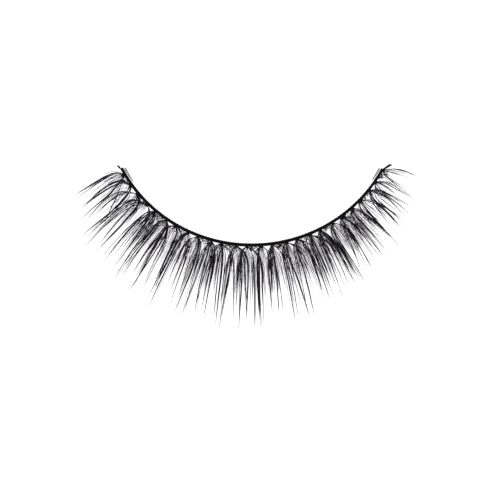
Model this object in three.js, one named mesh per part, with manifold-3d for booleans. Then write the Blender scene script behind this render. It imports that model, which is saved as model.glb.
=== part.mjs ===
// A crisscross false eyelash strip, lying on a table on its band and on the tips of its longest lashes.
// Millimetres, +Z up. Seen from above the band is an arc that opens towards +Y, where the eyelid goes,
// and the lashes fan out on its other side. Each lash lock is tied to the band at a knot, leans left or
// right across its neighbour, and then runs straight out while it curls down to the table. Left is -X.
import * as THREE from "three";
import Module from "manifold-3d";
import { mergeVertices } from "three/addons/utils/BufferGeometryUtils.js";

// The band thread: a cotton cord, pressed flat on its underside
const BAND_LENGTH = 32.9;
const BAND_RADIUS = 15.0;
const BAND_WIDTH = 0.34;
const BAND_HEIGHT = 0.46;
const BAND_STEPS = 42;

// The two knotting threads that carry the locks, one above the other, on the outside of the band
const THREAD_DIAMETER = 0.16;
const THREAD_CLEARANCE = 0.02;
const THREAD_GAP = 0.1;
const LEFT_STUB_LENGTH = 0.4;
const LEFT_STUB_SPLAY = 0.1;
const RIGHT_STUB_LENGTH = 0.8;
const RIGHT_STUB_SPLAY = 0.45;

// The knots, which come in pairs, all along the band
const PITCHES_IN_BAND = 12.88;
const KNOT_SPACING = 1.08;
const PATTERN_SHIFT = 0.275;
const KNOT_WIDTH = 0.24;
const KNOT_LENGTH = 0.4;

// The locks
const LONGEST_LASH = 9.5;
const LEG_SWAY = 0.78;
const LEG_RISE = 0.85;
const LOCK_WIDTH = 0.42;
const LOCK_THICKNESS = 0.1;
const TIP_WIDTH = 0.06;
const TIP_THICKNESS = 0.04;
const UPPER_CURL = 0.175;
const LOWER_CURL = 0.14;
const SIDE_TIP_START = 0.28;
const SIDE_TIP_REACH = 0.7;
const SIDE_TIP_SWAY = 0.4;
const SIDE_TIP_WIDTH = 0.22;
const SIDE_TIP_THICKNESS = 0.06;

// The dried clear glue left along the inner edge of the band at its two ends
const FILM_WIDTH = 0.26;
const FILM_THICKNESS = 0.06;
const FILM_CLEARANCE = 0.01;
const LEFT_FILM_LENGTH = 1.8;
const RIGHT_FILM_LENGTH = 1.5;

// The length of the lashes at evenly spaced places from the left end of the band to the right end, as
// shares of the longest lash.
const LENGTH_PROFILE = [0.64, 0.87, 0.95, 0.97, 1.0, 0.94, 0.79, 0.68, 0.46];

// The two locks of each knot, from the left end to the right end. The strip is cut within a pair of knots
// at each end, so the first knot is the second of its pair, and the last knot is the first of its pair.
// left and right are the ways that the locks lean. A lock is [tip, reach]: where its tip lies beside the
// middle of the pair, as a share of the pitch, and how far it reaches from the band, as a share of the
// length of the lashes there.
const LOCKS = [
  { left: [0.05, 0.95], right: [0.68, 0.93] },
  { left: [-0.54, 0.75], right: [0.22, 0.95] },
  { left: [0.0, 0.88], right: [0.78, 0.9] },
  { left: [-0.59, 0.78], right: [0.27, 0.78] },
  { left: [0.09, 0.88], right: [0.58, 0.95] },
  { left: [-0.37, 0.88], right: [0.08, 0.8] },
  { left: [-0.09, 0.62], right: [0.36, 0.97] },
  { left: [-0.38, 0.98], right: [0.16, 0.66] },
  { left: [-0.1, 0.7], right: [0.4, 0.93] },
  { left: [-0.37, 0.97], right: [0.13, 0.96] },
  { left: [-0.13, 0.8], right: [0.46, 0.7] },
  { left: [-0.46, 0.97], right: [0.08, 0.78] },
  { left: [-0.04, 0.97], right: [0.5, 0.88] },
  { left: [-0.38, 0.99], right: [0.15, 0.97] },
  { left: [-0.01, 0.94], right: [0.66, 0.7] },
  { left: [-0.48, 0.82], right: [0.36, 0.6] },
  { left: [-0.06, 0.95], right: [0.61, 0.88] },
  { left: [-0.34, 0.92], right: [0.16, 0.93] },
  { left: [-0.03, 0.75], right: [0.46, 0.92] },
  { left: [-0.38, 0.95], right: [0.0, 0.97] },
  { left: [-0.1, 0.85], right: [0.49, 0.9] },
  { left: [-0.33, 0.97], right: [0.12, 0.8] },
  { left: [0.0, 0.95], right: [0.49, 0.9] },
  { left: [-0.6, 0.68], right: [0.02, 0.9] },
  { left: [-0.14, 0.93], right: [0.3, 0.95] },
  { left: [-0.57, 0.93], right: [0.15, 0.93] },
];

// Sizes that follow from the ones above
const BAND_END = BAND_LENGTH / 2;
const PAIR_PITCH = BAND_LENGTH / PITCHES_IN_BAND;
const THREAD_OFFSET = BAND_WIDTH / 2 + THREAD_CLEARANCE + KNOT_WIDTH / 2;
const LOWER_THREAD_HEIGHT = THREAD_CLEARANCE + THREAD_DIAMETER / 2;
const UPPER_THREAD_HEIGHT = LOWER_THREAD_HEIGHT + THREAD_DIAMETER + THREAD_GAP;

const wasm = await Module();
wasm.setup();

// A point of the strip: along the band from its middle, out from its centre line, and above the table.
function onStrip(along, out, height) {
  const angle = along / BAND_RADIUS;
  const radius = BAND_RADIUS + out;
  return new THREE.Vector3(radius * Math.sin(angle), -radius * Math.cos(angle), height);
}

// A curve over the strip, whose route gives [along, out, height] for each share t of its length.
class StripCurve extends THREE.Curve {
  constructor(route) {
    super();
    this.route = route;
  }
  getPoint(t, target = new THREE.Vector3()) {
    return target.copy(onStrip(...this.route(t)));
  }
}

// A closed bar along a curve, with a flat-sided section. section(t) gives its full width and full
// thickness, and upward(t) the direction of its thickness.
function bar(curve, section, sides, steps, upward = () => new THREE.Vector3(0, 0, 1)) {
  const geometry = new THREE.CylinderGeometry(1, 1, 1, sides, steps, false, Math.PI / sides);
  const position = geometry.getAttribute("position");
  const flat = 1 / Math.cos(Math.PI / sides);
  for (let i = 0; i < position.count; i++) {
    const t = THREE.MathUtils.clamp(position.getY(i) + 0.5, 0, 1);
    const [width, thickness] = section(t);
    const tangent = curve.getTangent(t);
    const across = new THREE.Vector3().crossVectors(tangent, upward(t)).normalize();
    const over = new THREE.Vector3().crossVectors(across, tangent);
    const point = curve.getPoint(t);
    point.addScaledVector(across, (position.getX(i) * flat * width) / 2);
    point.addScaledVector(over, (position.getZ(i) * flat * thickness) / 2);
    position.setXYZ(i, point.x, point.y, point.z);
  }
  return geometry;
}

function solidOf(geometry) {
  geometry.deleteAttribute("normal");
  geometry.deleteAttribute("uv");
  const merged = mergeVertices(geometry, 1e-4);
  return new wasm.Manifold(
    new wasm.Mesh({
      numProp: 3,
      vertProperties: merged.getAttribute("position").array,
      triVerts: new Uint32Array(merged.index.array),
    }),
  );
}

function joined(geometries) {
  const made = geometries.map(solidOf).reduce((whole, solid) => whole.add(solid)).getMesh();
  const geometry = new THREE.BufferGeometry();
  geometry.setAttribute("position", new THREE.BufferAttribute(new Float32Array(made.vertProperties), 3));
  geometry.setIndex(new THREE.BufferAttribute(new Uint32Array(made.triVerts), 1));
  geometry.computeVertexNormals();
  return geometry;
}

// Every knot, with its place along the band, the middle of its pair and its two locks.
const knots = LOCKS.map((locks, i) => {
  const pair = Math.ceil(i / 2) - LOCKS.length / 4;
  const middle = pair * PAIR_PITCH + PATTERN_SHIFT;
  const along = middle + (i % 2 === 0 ? 1 : -1) * (KNOT_SPACING / 2);
  return { ...locks, along, middle };
});

function bandThread() {
  const centre = new StripCurve((t) => [(t - 0.5) * BAND_LENGTH, 0, BAND_HEIGHT / 2]);
  return bar(centre, () => [BAND_WIDTH, BAND_HEIGHT], 8, BAND_STEPS);
}

// How far the knotting threads lie from the band's centre line: beyond its ends they splay outwards.
function threadOffset(along) {
  const beyond = Math.max(0, Math.abs(along) - BAND_END);
  return THREAD_OFFSET + beyond * (along < 0 ? LEFT_STUB_SPLAY : RIGHT_STUB_SPLAY);
}

// A knotting thread follows the band and swells at each knot.
function knottingThread(height) {
  const stations = [{ along: -BAND_END - LEFT_STUB_LENGTH, width: THREAD_DIAMETER }];
  for (const { along } of knots) {
    stations.push({ along: along - KNOT_LENGTH / 2, width: THREAD_DIAMETER });
    stations.push({ along, width: KNOT_WIDTH });
    stations.push({ along: along + KNOT_LENGTH / 2, width: THREAD_DIAMETER });
  }
  stations.push({ along: BAND_END + RIGHT_STUB_LENGTH, width: THREAD_DIAMETER });
  stations.sort((a, b) => a.along - b.along);
  const at = (t) => {
    const i = Math.min(Math.floor(t * (stations.length - 1)), stations.length - 2);
    const share = t * (stations.length - 1) - i;
    const along = THREE.MathUtils.lerp(stations[i].along, stations[i + 1].along, share);
    return { along, width: THREE.MathUtils.lerp(stations[i].width, stations[i + 1].width, share) };
  };
  const centre = new StripCurve((t) => {
    const { along } = at(t);
    return [along, threadOffset(along), height];
  });
  return bar(centre, (t) => [at(t).width, THREAD_DIAMETER], 5, stations.length - 1);
}

// The length of the lashes at a place along the band.
const profile = new THREE.SplineCurve(LENGTH_PROFILE.map((share, i) => new THREE.Vector2(i, share)));
function lashLength(along) {
  const t = THREE.MathUtils.clamp(along / BAND_LENGTH + 0.5, 0, 1);
  return profile.getPoint(t).y * LONGEST_LASH;
}

// All the lashes of a row curl alike: they climb from their thread, and come down to the table at the
// full length of the lashes.
function curlHeight(along, out, row) {
  const length = lashLength(along);
  const share = Math.min(1, (out - THREAD_OFFSET) / (length - THREAD_OFFSET));
  const rise = 4 * row.curl * length * share * (1 - share);
  return THREE.MathUtils.lerp(row.height, TIP_THICKNESS, share) + rise;
}

function curlNormal(along, out, row) {
  const step = 0.01;
  const point = onStrip(along, out, curlHeight(along, out, row));
  const beside = onStrip(along + step, out, curlHeight(along + step, out, row)).sub(point);
  const beyond = onStrip(along, out + step, curlHeight(along, out + step, row)).sub(point);
  return beyond.cross(beside).normalize();
}

// The plan of a lock: it leaves its knot slantwise, crosses its neighbour, then runs straight out to its
// tip. lean is -1 to the left and 1 to the right.
function lockPlan(knotAlong, tipAlong, reach, lean) {
  const start = threadOffset(knotAlong);
  return new THREE.CubicBezierCurve(
    new THREE.Vector2(knotAlong, start),
    new THREE.Vector2(knotAlong + lean * LEG_SWAY, start + LEG_RISE),
    new THREE.Vector2(tipAlong, 0.35 * reach),
    new THREE.Vector2(tipAlong, reach),
  );
}

// The plan of a side tip, which parts from its lock and ends short of it.
function sidePlan(main, lean) {
  const start = main.getPoint(SIDE_TIP_START);
  const end = main.getPoint(1);
  const reach = start.y + (end.y - start.y) * SIDE_TIP_REACH;
  const tip = new THREE.Vector2(end.x - lean * SIDE_TIP_SWAY, reach);
  return new THREE.QuadraticBezierCurve(start, new THREE.Vector2(tip.x, (start.y + reach) / 2), tip);
}

// The solid of a lock: a blade with a ridge on each face, lying in the curl of its row.
function blade(plan, width, thickness, sides, steps, row) {
  const centre = new StripCurve((t) => {
    const { x, y } = plan.getPoint(t);
    return [x, y, curlHeight(x, y, row)];
  });
  const section = (t) => {
    const swell = Math.sin(Math.PI * (0.3 + 0.7 * t));
    return [TIP_WIDTH + (width - TIP_WIDTH) * swell, THREE.MathUtils.lerp(thickness, TIP_THICKNESS, t)];
  };
  const upward = (t) => {
    const { x, y } = plan.getPoint(t);
    return curlNormal(x, y, row);
  };
  return bar(centre, section, sides, steps, upward);
}

// All the locks that lean one way, with the thread that they are tied to.
function lockRow(side, lean, row) {
  const pieces = [knottingThread(row.height)];
  for (const knot of knots) {
    const [tip, share] = knot[side];
    const tipAlong = knot.middle + tip * PAIR_PITCH;
    const main = lockPlan(knot.along, tipAlong, share * lashLength(tipAlong), lean);
    pieces.push(blade(main, LOCK_WIDTH, LOCK_THICKNESS, 4, 6, row));
    pieces.push(blade(sidePlan(main, lean), SIDE_TIP_WIDTH, SIDE_TIP_THICKNESS, 3, 3, row));
  }
  return joined(pieces);
}

// A flat ribbon of dried glue on the inner edge of the band, narrowing away from the band's end. side is
// -1 at the left end and 1 at the right end.
function glueFilm(side, length) {
  const out = -(BAND_WIDTH / 2 + FILM_CLEARANCE + FILM_WIDTH / 2);
  const fromEnd = (t) => (side < 0 ? t : 1 - t);
  const centre = new StripCurve((t) => [side * (BAND_END - length * fromEnd(t)), out, FILM_THICKNESS / 2]);
  return bar(centre, (t) => [FILM_WIDTH * (1 - 0.4 * fromEnd(t)), FILM_THICKNESS], 4, 6);
}

const blackCotton = new THREE.MeshStandardMaterial({ color: 0x0b0b0c, roughness: 0.7, metalness: 0 });
const blackFibre = new THREE.MeshStandardMaterial({ color: 0x141316, roughness: 0.42, metalness: 0 });
const clearGlue = new THREE.MeshStandardMaterial({
  color: 0xd9d9d6,
  roughness: 0.3,
  metalness: 0,
  transparent: true,
  opacity: 0.45,
});

const upperRow = { height: UPPER_THREAD_HEIGHT, curl: UPPER_CURL };
const lowerRow = { height: LOWER_THREAD_HEIGHT, curl: LOWER_CURL };

const strip = new THREE.Group();
strip.name = "eyelash_strip";
function addPiece(name, geometry, material) {
  const mesh = new THREE.Mesh(geometry, material);
  mesh.name = name;
  strip.add(mesh);
}

addPiece("band_thread", bandThread(), blackCotton);
addPiece("upper_lock_row", lockRow("left", -1, upperRow), blackFibre);
addPiece("lower_lock_row", lockRow("right", 1, lowerRow), blackFibre);
addPiece("glue_film_left", glueFilm(-1, LEFT_FILM_LENGTH), clearGlue);
addPiece("glue_film_right", glueFilm(1, RIGHT_FILM_LENGTH), clearGlue);

// The origin is the middle of the strip's bounding box, at the height of the table.
const box = new THREE.Box3().setFromObject(strip);
const middle = box.getCenter(new THREE.Vector3());
strip.position.set(-middle.x, -middle.y, -box.min.z);

export default strip;
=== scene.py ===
# A crisscross false eyelash strip, lying on a white table on its band and on the tips of its longest
# lashes. Sizes are in millimetres along the strip, and on_strip() turns them into the frame's metres.
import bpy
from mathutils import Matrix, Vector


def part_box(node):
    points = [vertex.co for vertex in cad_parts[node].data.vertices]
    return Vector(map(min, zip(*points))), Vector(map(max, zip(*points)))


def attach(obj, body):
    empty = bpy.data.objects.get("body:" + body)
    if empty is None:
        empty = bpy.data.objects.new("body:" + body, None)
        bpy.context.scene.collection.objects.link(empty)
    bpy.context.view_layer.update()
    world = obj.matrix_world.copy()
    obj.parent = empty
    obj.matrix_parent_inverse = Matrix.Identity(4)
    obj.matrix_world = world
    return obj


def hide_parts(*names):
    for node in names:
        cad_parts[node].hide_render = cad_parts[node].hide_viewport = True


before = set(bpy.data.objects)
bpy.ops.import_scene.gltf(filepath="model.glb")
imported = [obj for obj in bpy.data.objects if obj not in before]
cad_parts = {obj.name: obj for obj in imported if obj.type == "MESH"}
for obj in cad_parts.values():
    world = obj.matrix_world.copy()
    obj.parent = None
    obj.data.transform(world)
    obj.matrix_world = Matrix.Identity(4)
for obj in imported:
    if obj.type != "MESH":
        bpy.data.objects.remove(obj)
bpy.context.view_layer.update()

import math
import random

import bmesh
import bpy
from mathutils import Matrix, Vector

# The band cord: three plies of black cotton thread twisted into one cord, soaked in a clear size and
# dried on a curved former, so that it keeps the arc of an eyelid. Every lash hangs on it.
MM = 0.001
BAND_LENGTH = 32.9
BAND_RADIUS = 15.0
BAND_WIDTH = 0.34
BAND_HEIGHT = 0.46
BAND_END = BAND_LENGTH / 2
PLIES = 3
PLY_RADIUS = 0.085
PLY_SWING_ACROSS = 0.06
PLY_SWING_UP = 0.13
CORD_TWIST = 1.05
CORD_STEP = 0.07
RIGHT_END_DRIFT = 0.11
RIGHT_END_THINNING = 0.3
COTTON_SHADED = "#08080a"
COTTON_LIT = "#161517"
COTTON_FIBRE_SIZE = 0.05
COTTON_FIBRE_RELIEF = 0.01
GLEAM_PATCH_SIZE = 1.2
MERGE_DISTANCE = 0.0005 * MM

# A noise texture's values lie between these two nearly everywhere.
NOISE_LOW = 0.3
NOISE_HIGH = 0.7

band_low, band_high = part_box("band_thread")
arc_centre = Vector(((band_low.x + band_high.x) / 2, band_low.y + (BAND_RADIUS + BAND_WIDTH / 2) * MM, 0))


def on_strip(along, out, height):
    """A point of the strip: along the band from its middle, out from it and above the table, in mm."""
    angle = along / BAND_RADIUS
    reach = BAND_RADIUS + out
    point = Vector((reach * math.sin(angle), -reach * math.cos(angle), height))
    return arc_centre + point * MM


def drift(along):
    """How far the band strays outwards from its arc, where its right half has relaxed, in mm."""
    return RIGHT_END_DRIFT * max(0.0, along / BAND_END) ** 2


def thinned(along):
    """The share of its width that the cord keeps there: its right half has been pulled thinner."""
    return 1 - RIGHT_END_THINNING * max(0.0, along / BAND_END) ** 2


def closed_mesh(name, body):
    """The mesh of a finished bmesh, its faces smooth and pointing outwards."""
    bmesh.ops.recalc_face_normals(body, faces=body.faces)
    for face in body.faces:
        face.smooth = True
    mesh = bpy.data.meshes.new(name)
    body.to_mesh(mesh)
    body.free()
    return mesh


def tubes(name, strands, sides=4):
    """One mesh of closed round strands. A strand is its points, its radii in mm and its shade's number."""
    drawing = bpy.data.curves.new(name, "CURVE")
    drawing.dimensions = "3D"
    drawing.bevel_depth = MM
    drawing.bevel_resolution = (sides - 4) // 2
    drawing.use_fill_caps = True
    for _ in range(1 + max(shade for _, _, shade in strands)):
        drawing.materials.append(None)
    for points, radii, shade in strands:
        line = drawing.splines.new("POLY")
        line.points.add(len(points) - 1)
        line.points.foreach_set("co", [x for p in points for x in (*p, 1)])
        line.points.foreach_set("radius", radii)
        line.material_index = shade
    holder = bpy.data.objects.new(name, drawing)
    bpy.context.scene.collection.objects.link(holder)
    graph = bpy.context.evaluated_depsgraph_get()
    drawn = bpy.data.meshes.new_from_object(holder.evaluated_get(graph))
    body = bmesh.new()
    body.from_mesh(drawn)
    bpy.data.objects.remove(holder)
    bpy.data.meshes.remove(drawn)
    bmesh.ops.remove_doubles(body, verts=body.verts, dist=MERGE_DISTANCE)
    return closed_mesh(name, body)


def linear(hex_colour):
    """An sRGB hex colour as linear red, green, blue and alpha."""
    parts = [int(hex_colour[i : i + 2], 16) / 255 for i in (1, 3, 5)]
    return (*[c / 12.92 if c <= 0.04045 else ((c + 0.055) / 1.055) ** 2.4 for c in parts], 1)


def add_node(tree, kind, settings=(), links=()):
    """A node of that kind, with its settings or unlinked inputs set and its inputs linked."""
    made = tree.nodes.new(kind)
    for name, value in dict(settings).items():
        if name in made.inputs:
            made.inputs[name].default_value = value
        else:
            setattr(made, name, value)
    for name, source in dict(links).items():
        tree.links.new(source, made.inputs[name])
    return made


def new_material(name):
    """An empty node material, and its tree."""
    made = bpy.data.materials.new(name)
    made.use_nodes = True
    made.node_tree.nodes.clear()
    return made, made.node_tree


def piece(name, mesh, materials, slot, *stands_for):
    """The finished piece, at the origin, riding on the strip's one body. It stands for those CAD nodes."""
    for material in materials:
        mesh.materials.append(material)
    made = bpy.data.objects.new(name, mesh)
    bpy.context.scene.collection.objects.link(made)
    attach(made, "root")
    if stands_for:
        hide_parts(*stands_for)
    return made


# Mercerised cotton dyed black and stiffened with size. The size fills the nap, so the cord looks near
# black with a dull gleam in patches, and only the fine fibres of the ply break the gleam up.
def sized_cotton():
    material, tree = new_material("sized_black_cotton")
    place = add_node(tree, "ShaderNodeTexCoord")
    fibre = add_node(
        tree,
        "ShaderNodeTexNoise",
        {"Scale": 1 / (COTTON_FIBRE_SIZE * MM), "Detail": 3.0, "Roughness": 0.6},
        {"Vector": place.outputs["Object"]},
    )
    patches = add_node(
        tree,
        "ShaderNodeTexNoise",
        {"Scale": 1 / (GLEAM_PATCH_SIZE * MM), "Detail": 2.0},
        {"Vector": place.outputs["Object"]},
    )
    # Painted light and shade: the noise that raises the fibres in the bump also paints them lighter, and
    # the hollows between them darker.
    colour = add_node(
        tree,
        "ShaderNodeMix",
        {"data_type": "RGBA", "A": linear(COTTON_SHADED), "B": linear(COTTON_LIT)},
        {"Factor": fibre.outputs["Fac"]},
    )
    gloss = add_node(
        tree,
        "ShaderNodeMapRange",
        {"From Min": NOISE_LOW, "From Max": NOISE_HIGH, "To Min": 0.45, "To Max": 0.7},
        {"Value": patches.outputs["Fac"]},
    )
    relief = add_node(
        tree,
        "ShaderNodeBump",
        {"Strength": 0.4, "Distance": COTTON_FIBRE_RELIEF * MM},
        {"Height": fibre.outputs["Fac"]},
    )
    shader = add_node(
        tree,
        "ShaderNodeBsdfPrincipled",
        {"Specular IOR Level": 0.3},
        {
            "Base Color": colour.outputs["Result"],
            "Roughness": gloss.outputs["Result"],
            "Normal": relief.outputs["Normal"],
        },
    )
    add_node(tree, "ShaderNodeOutputMaterial", links={"Surface": shader.outputs["BSDF"]})
    return material


def ply(number):
    """One ply of the cord, winding round its centre line with the others."""
    steps = round(BAND_LENGTH / CORD_STEP)
    points, radii = [], []
    for i in range(steps + 1):
        along = -BAND_END + BAND_LENGTH * i / steps
        turn = 2 * math.pi * (along / CORD_TWIST + number / PLIES)
        out = drift(along) + thinned(along) * PLY_SWING_ACROSS * math.cos(turn)
        points.append(on_strip(along, out, BAND_HEIGHT / 2 + PLY_SWING_UP * math.sin(turn)))
        radii.append(PLY_RADIUS * thinned(along))
    return points, radii, 0


cotton = sized_cotton()
piece(
    "band_cord",
    tubes("band_cord", [ply(number) for number in range(PLIES)], sides=8),
    [cotton],
    "black_cotton_band",
    "band_thread",
)


# The knotting threads: two thin two-ply cotton threads laid along the outer flank of the cord, one above
# the other. The lashes are tied over them. Their ends are cut off just past the ends of the cord, where
# they fray, so the plies swell and part.
THREAD_OFFSET = 0.15
THREAD_PLIES = 2
THREAD_PLY_RADIUS = 0.032
THREAD_PLY_SWING = 0.028
THREAD_FRAYING = 3.5
STUB_SWELLING = 0.9
SWELLING_LENGTH = 0.25
THREAD_TWIST = 0.42
THREAD_STEP = 0.05
LOWER_THREAD_HEIGHT = 0.12
UPPER_THREAD_HEIGHT = 0.34
LEFT_STUB_LENGTH = 0.4
LEFT_STUB_SPLAY = 0.25
RIGHT_STUB_LENGTH = 0.8
RIGHT_STUB_SPLAY = 0.6


def thread_offset(along, beyond):
    """How far out the threads lie. Past the ends of the cord they splay outwards."""
    splay = LEFT_STUB_SPLAY if along < 0 else RIGHT_STUB_SPLAY
    return THREAD_OFFSET + drift(along - beyond) + beyond * splay


def knotting_thread(height):
    """The plies of one thread at that height, from its cut end on the left to that on the right."""
    start = -BAND_END - LEFT_STUB_LENGTH
    length = BAND_END + RIGHT_STUB_LENGTH - start
    steps = round(length / THREAD_STEP)
    plies = []
    for number in range(THREAD_PLIES):
        points, radii = [], []
        for i in range(steps + 1):
            along = start + length * i / steps
            beyond = max(0.0, abs(along) - BAND_END)
            radii.append(THREAD_PLY_RADIUS * (1 + STUB_SWELLING * min(1.0, beyond / SWELLING_LENGTH)))
            turn = 2 * math.pi * (along / THREAD_TWIST + number / THREAD_PLIES)
            swing = THREAD_PLY_SWING * (1 + THREAD_FRAYING * beyond)
            out = thread_offset(along, beyond) + swing * math.cos(turn)
            points.append(on_strip(along, out, height + THREAD_PLY_SWING * math.sin(turn)))
        plies.append((points, radii, 0))
    return plies


piece(
    "knotting_threads",
    tubes("knotting_threads", knotting_thread(LOWER_THREAD_HEIGHT) + knotting_thread(UPPER_THREAD_HEIGHT)),
    [cotton],
    "black_cotton_band",
)


# The knots: at each one a lock's roots are bent round both threads and bound with four turns of fibre,
# pulled tight against the cord. They come in pairs, and at both ends a pair is cut down to one knot.
PITCHES_IN_BAND = 12.88
PAIR_PITCH = BAND_LENGTH / PITCHES_IN_BAND
KNOT_SPACING = 1.08
PATTERN_SHIFT = 0.275
KNOTS = 26
KNOT_TURNS = 4
KNOT_LENGTH = 0.3
KNOT_OFFSET = 0.22
KNOT_REACH = 0.14
KNOT_RISE = 0.17
KNOT_HEIGHT = 0.24
WINDING_RADIUS = 0.042
WINDING_SIDES = 6
STEPS_IN_TURN = 10


def pair_middle(knot):
    """Where the middle of a knot's pair is, in mm along from the middle of the band."""
    return (math.ceil(knot / 2) - KNOTS / 4) * PAIR_PITCH + PATTERN_SHIFT


def knot_along(knot):
    """Where a knot is, in mm along. They count from the left, and even ones are the right of their pair."""
    return pair_middle(knot) + (KNOT_SPACING / 2 if knot % 2 == 0 else -KNOT_SPACING / 2)


def wind_knot(body, knot):
    """Adds the turns of one knot: a small round spun into a screw, squeezed oval, set along the band."""
    circle = bmesh.ops.create_circle(body, cap_ends=True, segments=WINDING_SIDES, radius=WINDING_RADIUS)
    wire = circle["verts"]
    bmesh.ops.translate(body, verts=wire, vec=(KNOT_REACH, -KNOT_LENGTH / 2, 0))
    rim = list({edge for vert in wire for edge in vert.link_edges})
    cap = list({face for vert in wire for face in vert.link_faces})
    steps = KNOT_TURNS * STEPS_IN_TURN
    before = set(body.verts) - set(wire)
    bmesh.ops.spin(
        body,
        geom=wire + rim + cap,
        axis=(0, 1, 0),
        dvec=(0, KNOT_LENGTH / steps, 0),
        angle=2 * math.pi * KNOT_TURNS,
        steps=steps,
    )
    along = knot_along(knot)
    middle = on_strip(along, KNOT_OFFSET + drift(along), KNOT_HEIGHT)
    outward = (on_strip(along, KNOT_OFFSET + 1, KNOT_HEIGHT) - middle).normalized()
    up = Vector((0, 0, KNOT_RISE / KNOT_REACH))
    turn = Matrix((outward, up.cross(outward).normalized(), up)).transposed()
    turned = (Matrix.Translation(middle) @ turn.to_4x4()) @ Matrix.Scale(MM, 4)
    bmesh.ops.transform(body, verts=list(set(body.verts) - before), matrix=turned)


windings = bmesh.new()
for knot in range(KNOTS):
    wind_knot(windings, knot)
piece("knots", closed_mesh("knots", windings), [cotton], "black_cotton_band")


# The lashes: drawn black polyester fibres, each tapered to a point and set in a curl by heat. A lock of
# them leaves its knot slantwise, crosses its neighbour, and runs out to the tips, curling to the table.
LONGEST_LASH = 9.5
LENGTH_PROFILE = [0.64, 0.87, 0.95, 0.97, 1.0, 0.94, 0.79, 0.68, 0.46]
TIP_HEIGHT = 0.03
UPPER_CURL = 0.175
LOWER_CURL = 0.14
LASH_RADIUS = 0.037
LASH_TIP_RADIUS = 0.005
ROOT_SHARE = 0.42
ROOT_TAPER = 0.7
TIP_TAPER = 7
STEPS_IN_BEND = 3
SATIN_STREAK_SIZE = 0.8

# In a strand a share of the charted fibres cling together, from roots that lie close beside each other.
# No two are alike in height, bow, thickness and length, and they lie closer near the band and the tip.
CLINGING = 0.75
ROOT_SPREAD = 0.03
ROOT_NEAREST = 0.12
ROOT_FARTHEST = 0.22
STRAND_SPREAD = 0.01
SPREAD_PER_FIBRE = 0.01
GATHERED = 1.0
SPREAD_WHERE_GATHERED = 0.5
SPREAD_AT_TIP = 0.4
HEIGHT_SPREAD = 0.04
LEAST_BOW = 0.93
MOST_BOW = 1.02
THINNEST = 0.85
THICKEST = 1.15
CUT_SHORT = 0.2
TAPERED_END = 0.5

# Beside a strand lie loose, shorter fibres, a share of the charted number, and one fine fibre flies on.
SIDE_FIBRES = 0.5
SIDE_SPREAD = 0.22
SIDE_SHORTEST = 0.65
SIDE_RADIUS = 0.8 * LASH_RADIUS
FLYAWAY_RADIUS = 0.026
FLYAWAY_SPREAD = SIDE_SPREAD / 2
FLYAWAY_LENGTH = 1.0
LEFT_LEANING_SEED = 51
RIGHT_LEANING_SEED = 52
SEEDS_IN_ROW = 1000

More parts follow.
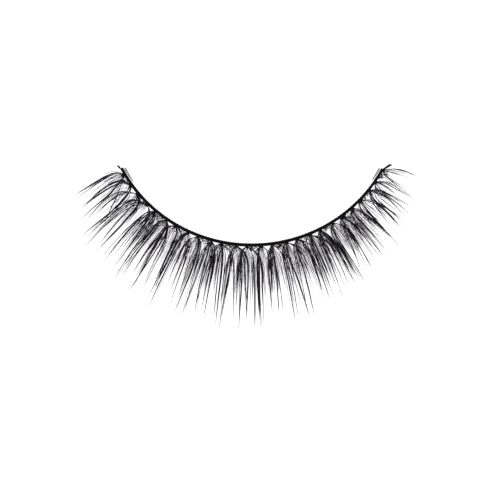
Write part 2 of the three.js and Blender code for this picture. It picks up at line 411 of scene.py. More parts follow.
# The strands of the locks that lean left, as they lie from the left end to the right: the knot a strand
# is tied at, how many fibres cling together in it, and the places it passes on its way from the knot to
# its tip, in degrees along the arc and mm out.
LEFT_LEANING = [
    (0, 4, (-61.6, 0.5), (-62.1, 1.0), (-62.1, 2), (-61.6, 4), (-61.8, 5.8)),
    (0, 3, (-61.2, 0.5), (-61.6, 1.0), (-61.4, 2), (-60.8, 3.5), (-60.7, 5.0)),
    (1, 13, (-56.6, 0.4), (-58.2, 0.8), (-58.7, 1.4), (-58.5, 2.4), (-58, 3.75)),
    (1, 3, (-56.4, 0.5), (-57.3, 1.0), (-57.6, 2), (-57.4, 3.4), (-57.3, 4.9)),
    (2, 3, (-52.2, 0.5), (-53.6, 1.2), (-53.8, 2.3), (-53.3, 4), (-52.6, 5.7)),
    (2, 4, (-52.6, 0.6), (-54.8, 1.6), (-55.1, 3.0), (-54, 5), (-53.1, 7)),
    (3, 8, (-46.5, 0.4), (-48.8, 0.7), (-49.9, 1.4), (-49.8, 2.6), (-49.6, 4), (-49.8, 6.6)),
    (3, 3, (-47, 0.5), (-49.4, 0.9), (-50.1, 2), (-50.1, 4.2), (-50.6, 6.6)),
    (3, 3, (-46.6, 0.5), (-48.6, 1.1), (-49.3, 2.2), (-49.2, 3.4), (-48.9, 4.9)),
    (3, 3, (-46.6, 0.6), (-48.4, 1.1), (-48.8, 2.2), (-48.6, 4), (-48.5, 6.5)),
    (3, 1, (-46.6, 0.7), (-47.9, 1.8), (-48.1, 3.2), (-48.1, 5)),
    (4, 5, (-41.8, 0.4), (-42.8, 0.9), (-42.6, 2), (-42.2, 3.5), (-42, 5.5)),
    (4, 3, (-41.8, 0.5), (-42.9, 1.2), (-43, 2.6), (-42.9, 4.4), (-43, 6.3)),
    (4, 3, (-41.4, 0.5), (-41.9, 1.0), (-41.8, 1.8), (-41.6, 2.6)),
    (4, 2, (-41.2, 0.6), (-41.3, 1.6), (-41.0, 3.2), (-40.8, 5.3)),
    (4, 2, (-41, 0.6), (-40.7, 1.7), (-40.4, 3), (-40.2, 4.5)),
    (5, 6, (-36, 0.4), (-36.7, 0.9), (-36.4, 2), (-36.3, 3.2), (-36.4, 4.6), (-36.6, 6.4)),
    (5, 4, (-36.2, 0.5), (-37, 1.0), (-36.9, 2.2), (-36.9, 3.4), (-37, 4.8)),
    (5, 2, (-35.6, 0.6), (-35.9, 1.8), (-35.7, 4), (-35.7, 6.8)),
    (5, 3, (-36.4, 0.6), (-37.5, 1.5), (-37.7, 3), (-37.4, 5.2)),
    (6, 5, (-32.4, 0.45), (-33.6, 0.8), (-33.9, 1.6), (-33.9, 3), (-33.8, 4.9)),
    (6, 3, (-32, 0.5), (-33, 1.0), (-33.3, 2), (-33.4, 3.6)),
    (7, 7, (-26.1, 0.4), (-26.9, 1.0), (-27, 2), (-26.7, 3.2), (-26.6, 4.9)),
    (7, 4, (-26, 0.5), (-26.6, 1.3), (-26.6, 3), (-26.7, 4.8), (-26.9, 6.6)),
    (7, 4, (-25.8, 0.5), (-26.2, 1.4), (-25.9, 3), (-25.8, 4.8), (-25.9, 6.6)),
    (7, 4, (-26.4, 0.5), (-27.6, 1.2), (-27.7, 2.2), (-27.4, 3.8)),
    (8, 5, (-22.2, 0.4), (-23.4, 0.8), (-24.1, 1.5), (-24.3, 2.6), (-24.2, 4.8)),
    (8, 3, (-22.4, 0.5), (-23.8, 1.0), (-24.6, 2.0), (-24.8, 4)),
    (8, 2, (-22, 0.6), (-22.7, 1.6), (-22.7, 3.5), (-22.6, 5.8)),
    (9, 6, (-16.1, 0.5), (-16.4, 1.3), (-16.6, 2.6), (-16.6, 4), (-16.8, 5.3), (-17.1, 6.5)),
    (9, 2, (-16.5, 0.6), (-17.3, 1.7), (-17.6, 3.5), (-17.4, 5.4)),
    (9, 8, (-15.9, 0.5), (-15.7, 1.3), (-15.6, 2.6), (-15.4, 3.8), (-15.1, 5.6)),
    (10, 4, (-12.5, 0.4), (-13.8, 0.8), (-14.1, 1.6), (-14.1, 2.8), (-14.4, 5.4)),
    (10, 4, (-12.4, 0.5), (-13.3, 1.1), (-13.3, 2.4), (-13.1, 4.5), (-13.1, 7.1)),
    (10, 3, (-12.6, 0.6), (-14.2, 1.5), (-14.6, 3), (-14.7, 5.3)),
    (11, 6, (-6.6, 0.5), (-7.4, 1.1), (-7.3, 2.2), (-7, 3.6), (-7, 5), (-7.3, 6.6)),
    (11, 3, (-6.9, 0.5), (-8, 1.6), (-8.2, 3.3), (-8, 5.3), (-8.2, 7.5)),
    (11, 3, (-6.5, 0.6), (-6.9, 1.8), (-7.4, 4), (-7.7, 6.4)),
    (12, 5, (-2.8, 0.45), (-3.9, 0.9), (-4.2, 1.8), (-4.2, 3.3), (-4.2, 4.8)),
    (12, 3, (-2.7, 0.5), (-3.6, 1.2), (-3.8, 3), (-3.5, 5), (-3.3, 6.8)),
    (12, 2, (-3, 0.6), (-4.4, 2), (-4.5, 4.5), (-4.4, 7.2)),
    (13, 9, (3, 0.5), (2.3, 1.1), (2, 2.3), (2, 3.8), (2, 5.3), (2.1, 7.4)),
    (13, 6, (3, 0.5), (2.5, 1.4), (2.4, 3), (2.2, 5), (2.3, 6.6)),
    (13, 3, (2.6, 0.5), (1.5, 1.2), (1.2, 3), (1.1, 5.8)),
    (14, 4, (7.2, 0.5), (6.5, 1.1), (6.4, 2.3), (6.3, 4)),
    (14, 4, (7.3, 0.5), (6.8, 1.3), (6.6, 2.5), (6.2, 3.8)),
    (14, 7, (7.8, 0.5), (7.7, 1.6), (7.7, 3), (7.7, 4.3), (7.4, 5.6), (7.3, 6.5)),
    (14, 5, (7.9, 0.6), (7.9, 2), (7.9, 3.4), (7.8, 4.8)),
    (14, 3, (7.9, 0.8), (8, 2.5), (8.2, 4.5), (8.3, 6.2)),
    (14, 2, (7, 0.6), (5.9, 1.7), (5.5, 3.5), (5.4, 5.8)),
    (15, 6, (12.9, 0.4), (12.2, 1.1), (12.1, 2.4), (12.3, 3.8), (12.1, 5.9)),
    (15, 3, (12.4, 0.4), (11.3, 1.1), (11, 2.6), (11, 4.3), (11, 6)),
    (15, 2, (12.4, 0.6), (11.7, 1.5), (11.5, 3), (11.5, 5.8)),
    (15, 3, (13.2, 0.6), (12.9, 1.8), (13, 3.3), (13.1, 5.3)),
    (16, 5, (17, 0.5), (16.6, 1.2), (16.5, 2.4), (16.5, 4.4), (16.2, 6.7)),
    (16, 3, (16.6, 0.5), (15.3, 1.1), (14.8, 2.6), (14.6, 4.6)),
    (16, 3, (16.8, 0.6), (15.8, 1.6), (15.2, 3.2), (14.9, 5)),
    (17, 5, (22.4, 0.4), (21.6, 1.0), (21.5, 2.3), (21.5, 3.6), (21.2, 5.3)),
    (17, 6, (22.9, 0.5), (22.5, 1.3), (22.6, 2.8), (22.4, 4.2), (22.4, 5.2), (22.2, 6.6)),
    (17, 3, (22, 0.4), (20.7, 0.8), (20.4, 1.9), (20.2, 3.2), (20.1, 4.3)),
    (17, 5, (23.2, 0.6), (23.2, 1.9), (23.1, 3.1), (23.1, 4)),
    (17, 3, (22.5, 0.6), (21.9, 2.3), (21.8, 4.5), (21.5, 6.5)),
    (18, 5, (26.6, 0.4), (25.6, 1.0), (25.2, 2.2), (25.1, 3.8), (24.8, 5.7)),
    (18, 3, (26.6, 0.5), (25.8, 1.6), (25.5, 3.2), (25.3, 4.5)),
    (18, 2, (27, 0.6), (26.7, 2), (26.5, 3.8), (26.2, 6)),
    (18, 3, (26.4, 0.4), (24.9, 1.4), (24, 3), (23.8, 4.6), (23.6, 6)),
    (19, 6, (32.3, 0.5), (31.5, 1.3), (31.2, 2.5), (31.1, 3.4), (31.3, 4.6), (31.4, 6)),
    (19, 5, (31.9, 0.5), (30.5, 1.2), (30.2, 2.3), (30.4, 4), (30.4, 5.3)),
    (19, 2, (31.7, 0.6), (30.6, 2), (30.6, 3.8), (30.9, 6.2)),
    (20, 5, (36.2, 0.4), (35.3, 1.0), (34, 2.3), (33.3, 3.2), (33.1, 4.4), (32.5, 5.6)),
    (20, 4, (36, 0.6), (34.8, 1.8), (33.9, 3), (33.5, 4), (32.9, 4.9)),
    (20, 3, (36.5, 0.6), (35.8, 1.6), (35.3, 2.9), (35, 4), (34.6, 4.9)),
    (21, 3, (41.5, 0.4), (39.4, 0.9), (38.1, 2), (37.5, 3.2), (37.1, 4.9)),
    (21, 4, (41.6, 0.4), (40.4, 0.9), (40.1, 2), (40.1, 3.2), (40.1, 4.4)),
    (21, 5, (42.2, 0.4), (41.3, 1.1), (41.1, 2.4), (41.1, 4), (41.3, 5.6)),
    (21, 2, (42.6, 0.7), (42.1, 1.9), (42.1, 3.3)),
    (21, 2, (41.2, 0.5), (39.6, 1.5), (38.6, 2.6), (38.5, 4)),
    (22, 3, (45.8, 0.4), (44.6, 1.0), (43.7, 1.9), (43.2, 2.8), (42.7, 4)),
    (22, 3, (46, 0.5), (44.4, 1.1), (44.2, 2.1), (44.4, 3.3)),
    (22, 4, (46.5, 0.7), (45.6, 1.7), (45.2, 2.6), (45, 3.5)),
    (22, 2, (46.3, 0.7), (45.3, 2.2), (44.9, 4), (44.9, 6.3)),
    (23, 4, (51.5, 0.6), (50.3, 0.9), (49, 1.6), (48.3, 2.4), (47.8, 3.3)),
    (23, 1, (51, 0.7), (49.3, 1.5), (49, 3)),
    (23, 3, (51.3, 0.8), (50.2, 1.5), (49.8, 2.4), (49.6, 3.3)),
    (23, 1, (51.3, 0.8), (50, 1.8), (49.6, 3.6), (49.4, 5.5)),
    (24, 4, (55.5, 0.4), (54.3, 0.7), (53.8, 1.3), (53.8, 2.4)),
    (24, 2, (54.8, 0.5), (53.9, 1.4), (54.2, 2.8), (54.1, 4.9)),
    (24, 2, (55, 0.5), (52.6, 0.9), (51.2, 1.5), (50.7, 2.2), (50.8, 3.5)),
    (24, 1, (54.8, 0.5), (52.5, 1.3), (51.8, 2.2), (51.9, 3.3)),
    (24, 1, (55.5, 0.7), (53.6, 2.3), (53.1, 3.4), (52.5, 4.9)),
    (25, 3, (61.5, 0.6), (60.5, 0.9), (59.9, 1.4), (60, 2.5)),
    (25, 1, (61, 0.7), (59.6, 1.4), (58.7, 2.4)),
    (25, 1, (60.5, 0.7), (58.8, 1.4), (58.2, 2.4), (58.4, 3.1)),
    (25, 1, (61, 0.8), (59.6, 1.9), (59.2, 3.2), (58.9, 4.8)),
]

# The strands of the locks that lean right, under the others, in the same way.
RIGHT_LEANING = [
    (0, 8, (-58.9, 0.45), (-57.6, 0.8), (-56, 1.35), (-54.3, 2), (-53, 2.6), (-51.4, 3.6)),
    (0, 5, (-58.7, 0.7), (-57, 1.7), (-56, 2.5), (-55.6, 3.6), (-55.2, 5)),
    (0, 2, (-60.5, 0.7), (-60.5, 2.3), (-59.8, 3.6)),
    (1, 7, (-53.4, 0.6), (-52, 1.8), (-51, 3), (-50.7, 4.2), (-51, 6.2)),
    (1, 3, (-53.6, 0.5), (-52.3, 1.1), (-51.7, 1.7), (-51, 2.5)),
    (2, 11, (-49, 0.4), (-47.4, 0.8), (-46.4, 1.5), (-45.6, 2.8), (-45, 4.6), (-45.1, 7.2)),
    (2, 3, (-48, 0.4), (-46.2, 0.8), (-45.5, 1.7), (-45, 2.6)),
    (2, 6, (-49.2, 0.6), (-48.3, 1.3), (-47.8, 2.1), (-47.1, 3.4), (-46.6, 4.8)),
    (3, 8, (-44, 0.25), (-42.4, 0.55), (-40.8, 1.2), (-39.8, 2.4), (-39.3, 3.7), (-39.1, 5)),
    (4, 5, (-39.7, 0.4), (-38.9, 0.9), (-38.4, 1.6), (-38.1, 2.6), (-37.8, 4), (-37.4, 6.4)),
    (4, 3, (-39.6, 0.6), (-39, 1.6), (-38.5, 3), (-38.4, 5)),
    (4, 2, (-39.9, 0.6), (-39.5, 1.5), (-39.2, 2.9)),
    (4, 2, (-39.2, 0.6), (-37.9, 1.7), (-37.3, 3), (-37.4, 5.1)),
    (5, 6, (-34.2, 0.4), (-33.3, 0.9), (-32.9, 2), (-32.7, 3.3), (-32.4, 4.4), (-32.2, 5.9)),
    (5, 4, (-34.3, 0.5), (-33.5, 1.3), (-33, 2.8), (-32.9, 4.1)),
    (5, 4, (-33.9, 0.4), (-32.4, 1.0), (-31.2, 2.2), (-30.7, 3.2), (-30.4, 4.3), (-30.1, 5.5)),
    (5, 2, (-33.4, 0.6), (-32, 1.8), (-31.7, 3.2), (-31.6, 4.6), (-31.8, 6)),
    (5, 3, (-33.4, 0.6), (-31.6, 1.5), (-30.2, 2.7), (-29.6, 4.2), (-29.4, 6.6)),
    (6, 7, (-30, 0.35), (-29, 0.8), (-28.4, 1.7), (-28, 2.8), (-27.7, 3.8), (-27.6, 4.6)),
    (6, 4, (-29.6, 0.4), (-28, 1.0), (-27.3, 2.2), (-27, 3.6)),
    (7, 6, (-24.3, 0.4), (-23.5, 0.9), (-22.8, 1.8), (-22, 3), (-21.6, 3.9), (-21.5, 4.9)),
    (7, 3, (-24.2, 0.6), (-23.2, 1.6), (-22.8, 2.8), (-22.6, 4.5)),
    (7, 2, (-23.5, 0.6), (-22, 2.1), (-21.5, 3.8), (-21.4, 6)),
    (8, 9, (-20.3, 0.4), (-19.6, 1.0), (-19.2, 2.2), (-18.9, 3.3), (-18.8, 4.6), (-19.1, 6.3)),
    (8, 3, (-20.3, 0.5), (-20, 1.6), (-19.8, 3), (-19.7, 5)),
    (8, 2, (-20.6, 0.6), (-20.6, 2.2), (-20.3, 4), (-20.1, 5.6)),
    (8, 2, (-19.6, 0.5), (-18.6, 1.4), (-18, 2.8), (-17.7, 4.6)),
    (9, 6, (-14.7, 0.4), (-13.6, 1.0), (-12.9, 1.9), (-12.5, 3), (-12.3, 4.3), (-12.2, 6.2)),
    (9, 5, (-14.6, 0.5), (-13.3, 1.4), (-12.9, 2.8), (-12.8, 4.4)),
    (10, 6, (-10.9, 0.5), (-10.3, 1.4), (-9.9, 2.4), (-9.6, 3.4), (-9.4, 4.6), (-9.2, 6.2)),
    (10, 3, (-11.2, 0.7), (-11.2, 2), (-11.2, 3.4), (-10.9, 4.7)),
    (10, 3, (-10.5, 0.5), (-9.3, 1.4), (-8.8, 3), (-8.5, 5)),
    (10, 2, (-11, 0.6), (-10.8, 2.2), (-10.5, 4.2), (-10.1, 6)),
    (10, 4, (-9.5, 0.5), (-7.6, 0.9), (-6.5, 1.8), (-5.8, 2.9), (-5.4, 4.2), (-5, 6.4)),
    (11, 7, (-4.9, 0.4), (-3.9, 1.0), (-3.2, 2), (-3, 3.2), (-2.9, 4.6), (-3, 6.4)),
    (11, 4, (-4.6, 0.4), (-3.2, 1.0), (-2.5, 2.4), (-2.2, 4), (-1.8, 5.6)),
    (11, 5, (-4, 0.4), (-2.2, 1.1), (-1.3, 2.2), (-1.1, 3.4), (-1, 4.6), (-1.15, 5.9)),
    (12, 4, (-0.8, 0.35), (0.1, 0.8), (0.6, 1.6), (0.6, 2.8), (0.3, 4), (0.3, 5.2)),
    (12, 3, (-0.7, 0.4), (0.5, 1.1), (1, 2.4), (1.1, 4), (1, 6)),
    (12, 5, (-0.6, 0.4), (1.2, 0.8), (2.7, 1.4), (3.4, 2.4), (3.3, 3.6), (3.1, 4.8), (3.1, 6.3)),
    (12, 2, (1.5, 0.8), (3.2, 1.7), (3.9, 3), (3.8, 4.2)),
    (13, 5, (4.8, 0.35), (5.8, 0.8), (6.2, 1.6), (6.3, 2.7), (6.2, 4.1)),
    (14, 3, (9.4, 0.4), (10.6, 1.0), (11, 2.2), (11.1, 3.6), (11, 5.8)),
    (14, 8, (9.6, 0.4), (11.6, 0.9), (13, 1.8), (13.6, 3), (14.1, 4.2), (14.3, 5.4), (14.6, 7.2)),
    (15, 6, (14.8, 0.4), (16.1, 0.8), (17, 1.5), (17.4, 2.4), (17.7, 4.1)),
    (15, 4, (15.2, 0.5), (16.8, 1.1), (18, 2.0), (18.6, 3), (18.9, 4.6)),
    (16, 5, (18.6, 0.2), (19.7, 0.5), (20.2, 1.3), (20.3, 2.6), (20.1, 4.3)),
    (16, 2, (19.6, 0.5), (20.8, 1.8), (20.9, 3.4), (21, 5)),
    (16, 3, (19.5, 0.4), (21.2, 0.8), (22, 1.6), (22.2, 2.6)),
    (17, 3, (24.4, 0.4), (25.3, 1.0), (25.6, 2), (25.2, 3.6), (24.9, 5.2)),
    (17, 3, (24.4, 0.4), (26, 1.0), (26.6, 2), (26.6, 3.2), (26.4, 4.8)),
    (17, 4, (24.6, 0.4), (26.3, 0.9), (27.6, 1.6), (27.9, 2.6), (27.8, 3.5), (27.5, 5.6)),
    (18, 3, (28, 0.5), (28.7, 1.4), (29, 2.6), (28.9, 4), (29, 5.2), (29.1, 6.2)),
    (18, 3, (28.3, 0.4), (29.2, 1.2), (29.6, 2.5), (29.4, 4), (29.1, 5.4)),
    (18, 3, (28, 0.6), (28.3, 2), (28.4, 3.6), (28.6, 5)),
    (18, 2, (28.4, 0.4), (29.8, 1.4), (30.1, 3), (30.2, 5), (30.2, 7.3)),
    (19, 5, (34, 0.35), (35.2, 0.8), (36.2, 1.5), (36.2, 2.4), (36, 3.4), (35.6, 4.7)),
    (19, 3, (34.5, 0.5), (36, 1.4), (35.9, 3), (35.5, 5), (35.2, 7)),
    (20, 4, (38.1, 0.5), (38.9, 1.2), (39, 2.2), (38.9, 3.1)),
    (20, 3, (38.2, 0.4), (39.2, 1.1), (39.3, 2.6), (39.5, 4.2), (39.8, 6.2)),
    (20, 2, (38.4, 0.4), (39.9, 1.1), (40.1, 2.6), (39.9, 5)),
    (21, 4, (43.6, 0.3), (44.1, 0.9), (44.2, 1.9), (44.4, 3.3)),
    (21, 3, (43.6, 0.4), (44.6, 1.3), (45, 2.6), (45, 3.6)),
    (22, 1, (47.6, 0.5), (47.8, 1.4), (47.7, 2.4)),
    (22, 2, (48.2, 0.4), (49.4, 0.9), (49.9, 1.8), (49.8, 2.6), (49.6, 3.4)),
    (22, 2, (48.4, 0.4), (49.8, 0.9), (50.6, 1.8), (50.8, 2.6), (50.8, 3.6)),
    (22, 1, (49, 0.6), (51, 2.6), (51.6, 4.3)),
    (23, 3, (53.3, 0.4), (53.8, 1.0), (53.9, 1.8), (53.8, 2.4)),
    (23, 2, (53.6, 0.4), (54.7, 1.1), (55.2, 1.8), (55.2, 2.4)),
    (23, 1, (54, 0.5), (55.1, 1.6), (55.6, 3), (56.3, 4.9)),
    (24, 2, (57.2, 0.4), (57.3, 1.1), (57.1, 2.1)),
    (24, 1, (57.5, 0.4), (58.3, 1.1), (58.1, 2.2), (58.4, 3.1)),
    (24, 1, (57.8, 0.4), (58.9, 1.2), (59, 2.2)),
    (25, 1, (63.3, 0.6), (64.3, 1.2), (65.1, 2), (65.3, 2.9), (65.5, 4.2)),
    (25, 1, (63.2, 0.6), (64, 1.4), (64.5, 2.4)),
    (25, 1, (62.6, 0.6), (62.9, 1.3), (63.2, 2.1)),
]


def lash_length(along):
    """How long the longest lashes are there: a smooth curve through the profile's even places."""
    last = len(LENGTH_PROFILE) - 1
    t = min(max(along / BAND_LENGTH + 0.5, 0.0), 1.0) * last
    i = min(int(t), last - 1)
    before, here, there, after = (LENGTH_PROFILE[min(max(i + k, 0), last)] for k in (-1, 0, 1, 2))
    t -= i
    slope_here, slope_there = (there - before) / 2, (after - here) / 2
    cubic = (2 * here - 2 * there + slope_here + slope_there) * t**3
    square = (-3 * here + 3 * there - 2 * slope_here - slope_there) * t**2
    return LONGEST_LASH * (cubic + square + slope_here * t + here)


def curl_height(along, out, height, curl):
    """The lashes bow up from their knot and come down to the table at their full length, in mm."""
    length = lash_length(along)
    share = min(1.0, max(0.0, (out - KNOT_OFFSET) / (length - KNOT_OFFSET)))
    return height + (TIP_HEIGHT - height) * share + 4 * curl * length * share * (1 - share)


def on_way(places, t):
    """The point at t, from 0 to 1, of a smooth way that bends at each of the places between its ends."""
    bends = len(places) - 2
    i = min(int(t * bends), bends - 1)
    t = t * bends - i
    start = places[0] if i == 0 else (places[i] + places[i + 1]) / 2
    end = places[-1] if i == bends - 1 else (places[i + 1] + places[i + 2]) / 2
    return start * (1 - t) ** 2 + places[i + 1] * 2 * t * (1 - t) + end * t**2


def lash(places, height, curl, radius, end=1.0, shade=0):
    """A fibre past the places, in mm along and out, cut at that share of the way and tapered to its tip."""
    points, radii = [], []
    steps = STEPS_IN_BEND * (len(places) - 2) + 1
    first, last = places[0].y, on_way(places, end).y
    for i in range(steps + 1):
        along, out = on_way(places, end * i / steps)
        points.append(on_strip(along, out, curl_height(along, out, height, curl)))
        share = min(max((out - first) / (last - first), 0.0), 1.0)
        swell = min(1.0, ROOT_SHARE + share / ROOT_TAPER)
        radii.append(LASH_TIP_RADIUS + (radius - LASH_TIP_RADIUS) * swell * (1 - share**TIP_TAPER))
    return points, radii, shade


def drawn_on(way, share):
    """The way, its last place moved on by that share of its reach, as far as the lashes are long there."""
    tip = way[-1]
    further = max(0.0, min(share * tip.y, lash_length(tip.x) - tip.y))
    return way[:-1] + [tip + (tip - way[-2]) * (further / (tip.y - way[-2].y))]


def cling(draw, foot, way, fibres, shift, share, radius, height, curl):
    """Fibres that cling together along a way, shifted sideways and cut at a share of it."""
    spread = STRAND_SPREAD + SPREAD_PER_FIBRE * math.sqrt(fibres)
    made = []
    for _ in range(fibres):
        root_along = foot + draw.uniform(-ROOT_SPREAD, ROOT_SPREAD)
        plan = [Vector((root_along, draw.uniform(ROOT_NEAREST, ROOT_FARTHEST)))]
        beside = shift + draw.gauss(0, spread)
        for place in way[:-1]:
            kept = SPREAD_WHERE_GATHERED if place.y < GATHERED else 1.0
            plan.append(place + Vector((beside * kept, 0)))
        plan.append(way[-1] + Vector((shift + (beside - shift) * SPREAD_AT_TIP, 0)))
        end = share * (1 - CUT_SHORT * draw.random() ** 2)
        lift = height + draw.uniform(-HEIGHT_SPREAD, HEIGHT_SPREAD)
        bow = curl * draw.uniform(LEAST_BOW, MOST_BOW)
        thickness = radius * draw.uniform(THINNEST, THICKEST)
        made.append(lash(plan, lift, bow, thickness, end, draw.randrange(len(dyes))))
    return made


def strand(draw, knot, fibres, places, height, curl):
    """A charted strand, drawn out to its long fine tip, loose fibres beside it and one that flies on."""
    foot = knot_along(knot)
    charted = [Vector((math.radians(angle) * BAND_RADIUS, out)) for angle, out in places]
    way = drawn_on(charted, TAPERED_END)
    clinging = max(1, round(CLINGING * fibres))
    made = cling(draw, foot, way, clinging, 0, 1.0, LASH_RADIUS, height, curl)
    for _ in range(round(SIDE_FIBRES * fibres)):
        shift = draw.gauss(0, SIDE_SPREAD)
        share = draw.uniform(SIDE_SHORTEST, 1.0)
        made += cling(draw, foot, way, 1, shift, share, SIDE_RADIUS, height, curl)
    shift = draw.gauss(0, FLYAWAY_SPREAD)
    flight = drawn_on(charted, FLYAWAY_LENGTH)
    return made + cling(draw, foot, flight, 1, shift, 1.0, FLYAWAY_RADIUS, height, curl)


# Black polyester, drawn through a die, so smooth and satin along the fibre. Dye lots in one lock differ
# a little, from blue-black to brown-black, which keeps the fibres apart to the eye.
def drawn_polyester(name, shade):
    material, tree = new_material(name)
    place = add_node(tree, "ShaderNodeTexCoord")
    streaks = add_node(
        tree,
        "ShaderNodeTexNoise",
        {"Scale": 1 / (SATIN_STREAK_SIZE * MM), "Detail": 2.0},
        {"Vector": place.outputs["Object"]},
    )
    gloss = add_node(
        tree,
        "ShaderNodeMapRange",
        {"From Min": NOISE_LOW, "From Max": NOISE_HIGH, "To Min": 0.36, "To Max": 0.52},
        {"Value": streaks.outputs["Fac"]},
    )
    shader = add_node(
        tree,
        "ShaderNodeBsdfPrincipled",
        {"Base Color": linear(shade), "Specular IOR Level": 0.35},
        {"Roughness": gloss.outputs["Result"]},
    )
    add_node(tree, "ShaderNodeOutputMaterial", links={"Surface": shader.outputs["BSDF"]})
    return material


dyes = [
    drawn_polyester("polyester_blue_black", "#15151b"),
    drawn_polyester("polyester_black", "#222025"),
    drawn_polyester("polyester_brown_black", "#403744"),
]


def lock_row(name, strands, height, curl, node, seed):
    """All the locks of one lean. Each strand has a seed of its own, so a change of one leaves the rest."""
    fibres = []
    for number, (knot, count, *places) in enumerate(strands):
        draw = random.Random(SEEDS_IN_ROW * seed + number)
        fibres += strand(draw, knot, count, places, height, curl)
    return piece(name, tubes(name, fibres), dyes, "black_lash_fibre", node)


lock_row(
    "left_leaning_lashes",
    LEFT_LEANING,
    UPPER_THREAD_HEIGHT,
    UPPER_CURL,
    "upper_lock_row",
    LEFT_LEANING_SEED,
)
lock_row(
    "right_leaning_lashes",
    RIGHT_LEANING,
    LOWER_THREAD_HEIGHT,
    LOWER_CURL,
    "lower_lock_row",
    RIGHT_LEANING_SEED,
)


# The cut roots: the short ends of the fibres, held by the threads beside each knot. They slant into the
# wide gaps between the pairs of knots and cross there in a fine hatch.
CUT_ROOTS = 11
CUT_ROOT_RADIUS = 0.026
CUT_ROOT_NEAREST = -0.1
CUT_ROOT_FARTHEST = 1.1
CUT_ROOT_SHORTEST = 0.3
CUT_ROOT_LONGEST = 0.9
CUT_ROOT_LEAST_SWAY = 0.2
CUT_ROOT_MOST_SWAY = 0.8
SWAY_AT_BEND = 0.6
REACH_AT_BEND = 0.4
CUT_ROOT_SEED = 21


def cut_roots(seed):
    """The cut roots of all the knots. Each knot's lean away from its pair, into the gap beside it."""
    draw = random.Random(seed)
    ends = []
    for knot in range(KNOTS):
        lean = 1 if knot % 2 == 0 else -1
        for _ in range(CUT_ROOTS):
            foot = knot_along(knot) + lean * draw.uniform(CUT_ROOT_NEAREST, CUT_ROOT_FARTHEST)
            reach = draw.uniform(CUT_ROOT_SHORTEST, CUT_ROOT_LONGEST)
            sway = lean * draw.uniform(CUT_ROOT_LEAST_SWAY, CUT_ROOT_MOST_SWAY)
            plan = [
                Vector((foot, THREAD_OFFSET)),
                Vector((foot + SWAY_AT_BEND * sway, THREAD_OFFSET + REACH_AT_BEND * reach)),
                Vector((foot + sway, THREAD_OFFSET + reach)),
            ]
            height = draw.uniform(LOWER_THREAD_HEIGHT, UPPER_THREAD_HEIGHT)
            ends.append(lash(plan, height, LOWER_CURL, CUT_ROOT_RADIUS, shade=draw.randrange(len(dyes))))
    return ends


piece("cut_roots", tubes("cut_roots", cut_roots(CUT_ROOT_SEED)), dyes, "black_lash_fibre")


# The underlay: the finest and palest fibres, fanned out from the knots under the locks. They show as a
# pale lilac bloom in the gaps, which is strongest right of the middle and faint at both ends.
UNDERLAY_HAIRS = 34
UNDERLAY_RADIUS = 0.0105
UNDERLAY_CURL = 0.95 * LOWER_CURL
UNDERLAY_FAN = 0.7
FULLEST_KNOTS = range(14, 21)
FULLEST_HAIRS = 52
SPARSEST_KNOTS = (0, 1, 2, 3, 22, 23, 24, 25)
SPARSEST_HAIRS = 13
UNDERLAY_ROOT_SPREAD = 0.08
UNDERLAY_SHORTEST = 0.35
UNDERLAY_LONGEST = 0.6
FAN_BEND_OUT = 0.9
FAN_AT_BEND = 0.4
FAN_TIP_SPREAD = 0.12
UNDERLAY_SEED = 31
# The pale lilac grey given to the underlay's fibres.
UNDERLAY_LILAC_GREY = "#988ba6"


def hairs_at(knot):
    """How many of the pale hairs a knot has."""
    if knot in FULLEST_KNOTS:
        return FULLEST_HAIRS
    if knot in SPARSEST_KNOTS:
        return SPARSEST_HAIRS
    return UNDERLAY_HAIRS


def underlay(seed):
    """The hairs of all the knots: each aims at its own place in the fan and ends inside the locks."""
    draw = random.Random(seed)
    hairs = []
    for knot in range(KNOTS):
        count = hairs_at(knot)
        for i in range(count):
            foot = knot_along(knot) + draw.uniform(-UNDERLAY_ROOT_SPREAD, UNDERLAY_ROOT_SPREAD)
            aim = foot + UNDERLAY_FAN * (2 * (i + draw.random()) / count - 1)
            reach = lash_length(aim) * draw.uniform(UNDERLAY_SHORTEST, UNDERLAY_LONGEST)
            plan = [
                Vector((foot, THREAD_OFFSET)),
                Vector((foot + FAN_AT_BEND * (aim - foot), FAN_BEND_OUT)),
                Vector((aim, reach / 2)),
                Vector((aim + draw.gauss(0, FAN_TIP_SPREAD), reach)),
            ]
            hairs.append(lash(plan, LOWER_THREAD_HEIGHT, UNDERLAY_CURL, UNDERLAY_RADIUS))
    return hairs


# The same polyester, given a pale lilac grey.
pale_lilac_grey = drawn_polyester("polyester_pale_lilac_grey", UNDERLAY_LILAC_GREY)
piece("underlay", tubes("underlay", underlay(UNDERLAY_SEED)), [pale_lilac_grey], "black_lash_fibre")


# The dried glue: the clear latex that held the strip at both ends, left along the inner edge of the cord.
# It is a thin film, cloudy where it is stretched, that narrows away from the end of the band.
GLUE_LEFT_LENGTH = 1.8
GLUE_RIGHT_LENGTH = 1.5
GLUE_WIDTH = 0.26
GLUE_THICKNESS = 0.06
GLUE_GAP = 0.03
GLUE_NARROWING = 0.4
GLUE_EDGE_THINNING = 0.5
GLUE_END_ROUNDING = 0.6
GLUE_CORNER = 8
GLUE_RAGGEDNESS = 0.1
GLUE_RAGS = 9
GLUE_RIPPLE = 0.15
GLUE_RIPPLES = 23
GLUE_STEPS_ALONG = 32
GLUE_STEPS_ACROSS = 6
GLUE_CLOUDED = "#a9a6a8"
GLUE_CLEAR = "#d9d6d4"
GLUE_CLOUD_SIZE = 0.15


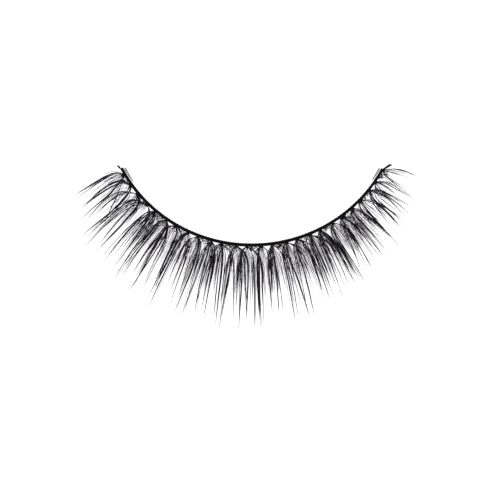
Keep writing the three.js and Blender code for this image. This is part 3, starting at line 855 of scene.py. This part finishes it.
# Dried latex glue: clear, with a soft milky cloudiness, so the table shows through it light grey, and its
# rubbery skin has a soft gloss.
def dried_glue():
    material, tree = new_material("dried_clear_glue")
    place = add_node(tree, "ShaderNodeTexCoord")
    clouds = add_node(
        tree,
        "ShaderNodeTexNoise",
        {"Scale": 1 / (GLUE_CLOUD_SIZE * MM), "Detail": 3.0},
        {"Vector": place.outputs["Object"]},
    )
    colour = add_node(
        tree,
        "ShaderNodeMix",
        {"data_type": "RGBA", "A": linear(GLUE_CLOUDED), "B": linear(GLUE_CLEAR)},
        {"Factor": clouds.outputs["Fac"]},
    )
    gloss = add_node(
        tree,
        "ShaderNodeMapRange",
        {"From Min": NOISE_LOW, "From Max": NOISE_HIGH, "To Min": 0.25, "To Max": 0.45},
        {"Value": clouds.outputs["Fac"]},
    )
    shader = add_node(
        tree,
        "ShaderNodeBsdfPrincipled",
        {"Transmission Weight": 0.5, "IOR": 1.45},
        {"Base Color": colour.outputs["Result"], "Roughness": gloss.outputs["Result"]},
    )
    add_node(tree, "ShaderNodeOutputMaterial", links={"Surface": shader.outputs["BSDF"]})
    return material


glue = dried_glue()


def glue_residue(name, end, inward, node):
    """A film from an end of the band inward: a unit grid laid along the cord, thickest in the middle."""
    body = bmesh.new()
    bmesh.ops.create_grid(body, x_segments=GLUE_STEPS_ALONG, y_segments=GLUE_STEPS_ACROSS, size=0.5)
    for vert in body.verts:
        share, side = vert.co.x + 0.5, 2 * vert.co.y
        ragged = 1 - GLUE_RAGGEDNESS * math.sin(GLUE_RAGS * share + side) ** 2
        rounded = 1 - GLUE_END_ROUNDING * abs(2 * share - 1) ** GLUE_CORNER
        half = GLUE_WIDTH / 2 * (1 - GLUE_NARROWING * share) * ragged * rounded
        domed = 1 - GLUE_EDGE_THINNING * side**2
        rippled = 1 - GLUE_RIPPLE + GLUE_RIPPLE * math.sin(GLUE_RIPPLES * share)
        height = GLUE_THICKNESS * domed * rippled
        along = end + inward * share
        cord_edge = drift(along) - thinned(along) * (PLY_SWING_ACROSS + PLY_RADIUS)
        middle = cord_edge - GLUE_GAP - GLUE_WIDTH / 2
        vert.co = on_strip(along, middle + side * half, height)
    film = body.verts[:] + body.edges[:] + body.faces[:]
    under = bmesh.ops.extrude_face_region(body, geom=film, use_keep_orig=True)["geom"]
    for vert in under:
        if isinstance(vert, bmesh.types.BMVert):
            vert.co.z = 0
    return piece(name, closed_mesh(name, body), [glue], "clear_dried_glue", node)


glue_residue("glue_residue_left", -BAND_END, GLUE_LEFT_LENGTH, "glue_film_left")
glue_residue("glue_residue_right", BAND_END, -GLUE_RIGHT_LENGTH, "glue_film_right")


# The table: a plain white laminate, lit until it is white all over, and soft light from above. It lies
# just under the strip, so that no two faces share a place.
TABLE_SIZE = 3.0
TABLE_GAP = 0.02 * MM
TABLE_COLOUR = "#f4f4f4"
ROOM_LIGHT = 0.25


# White laminate, a matt sheet pressed in resin. The exposure washes it out, so here it also gives off
# light of its own, and it shows hardly a shadow.
def white_table():
    material, tree = new_material("white_table")
    shader = add_node(
        tree,
        "ShaderNodeBsdfPrincipled",
        {
            "Base Color": linear(TABLE_COLOUR),
            "Roughness": 0.8,
            "Emission Color": (1, 1, 1, 1),
            "Emission Strength": 1.0,
        },
    )
    add_node(tree, "ShaderNodeOutputMaterial", links={"Surface": shader.outputs["BSDF"]})
    return material


body = bmesh.new()
bmesh.ops.create_grid(body, x_segments=1, y_segments=1, size=TABLE_SIZE / 2)
bmesh.ops.translate(body, verts=body.verts, vec=(0, 0, -TABLE_GAP))
table_mesh = bpy.data.meshes.new("table")
body.to_mesh(table_mesh)
body.free()
table_mesh.materials.append(white_table())
table = bpy.data.objects.new("table", table_mesh)
bpy.context.scene.collection.objects.link(table)

world = bpy.data.worlds.new("studio")
world.use_nodes = True
background = world.node_tree.nodes["Background"]
background.inputs["Color"].default_value = (1, 1, 1, 1)
background.inputs["Strength"].default_value = ROOM_LIGHT
bpy.context.scene.world = world


def softbox(name, place, size, power):
    """A square area light at that place in metres, turned to the strip."""
    lamp = bpy.data.lights.new(name, "AREA")
    lamp.shape = "SQUARE"
    lamp.size = size
    lamp.energy = power
    made = bpy.data.objects.new(name, lamp)
    made.location = place
    made.rotation_euler = (-Vector(place)).to_track_quat("-Z", "Y").to_euler()
    bpy.context.scene.collection.objects.link(made)


softbox("softbox_left", place=(-0.35, -0.1, 0.5), size=0.35, power=0.5)
softbox("softbox_right", place=(0.4, 0.2, 0.45), size=0.3, power=0.3)


# The camera: a long lens looking down on the table, 75 degrees above it.
CAMERA_DISTANCE = 0.6
CAMERA_ELEVATION = math.radians(75)
CAMERA_AIM = Vector((0.338, -0.16, 0)) * MM
FRAME_WIDTH = 51.35 * MM

camera = bpy.data.cameras.new("camera")
camera.sensor_width = 36
camera.lens = camera.sensor_width * CAMERA_DISTANCE / FRAME_WIDTH
camera.clip_start = 0.01
camera_object = bpy.data.objects.new("camera", camera)
back = Vector((0, -math.cos(CAMERA_ELEVATION), math.sin(CAMERA_ELEVATION)))
camera_object.location = CAMERA_AIM + back * CAMERA_DISTANCE
camera_object.rotation_euler = (-back).to_track_quat("-Z", "Y").to_euler()
bpy.context.scene.collection.objects.link(camera_object)
bpy.context.scene.camera = camera_object
bpy.context.scene.view_settings.view_transform = "Standard"
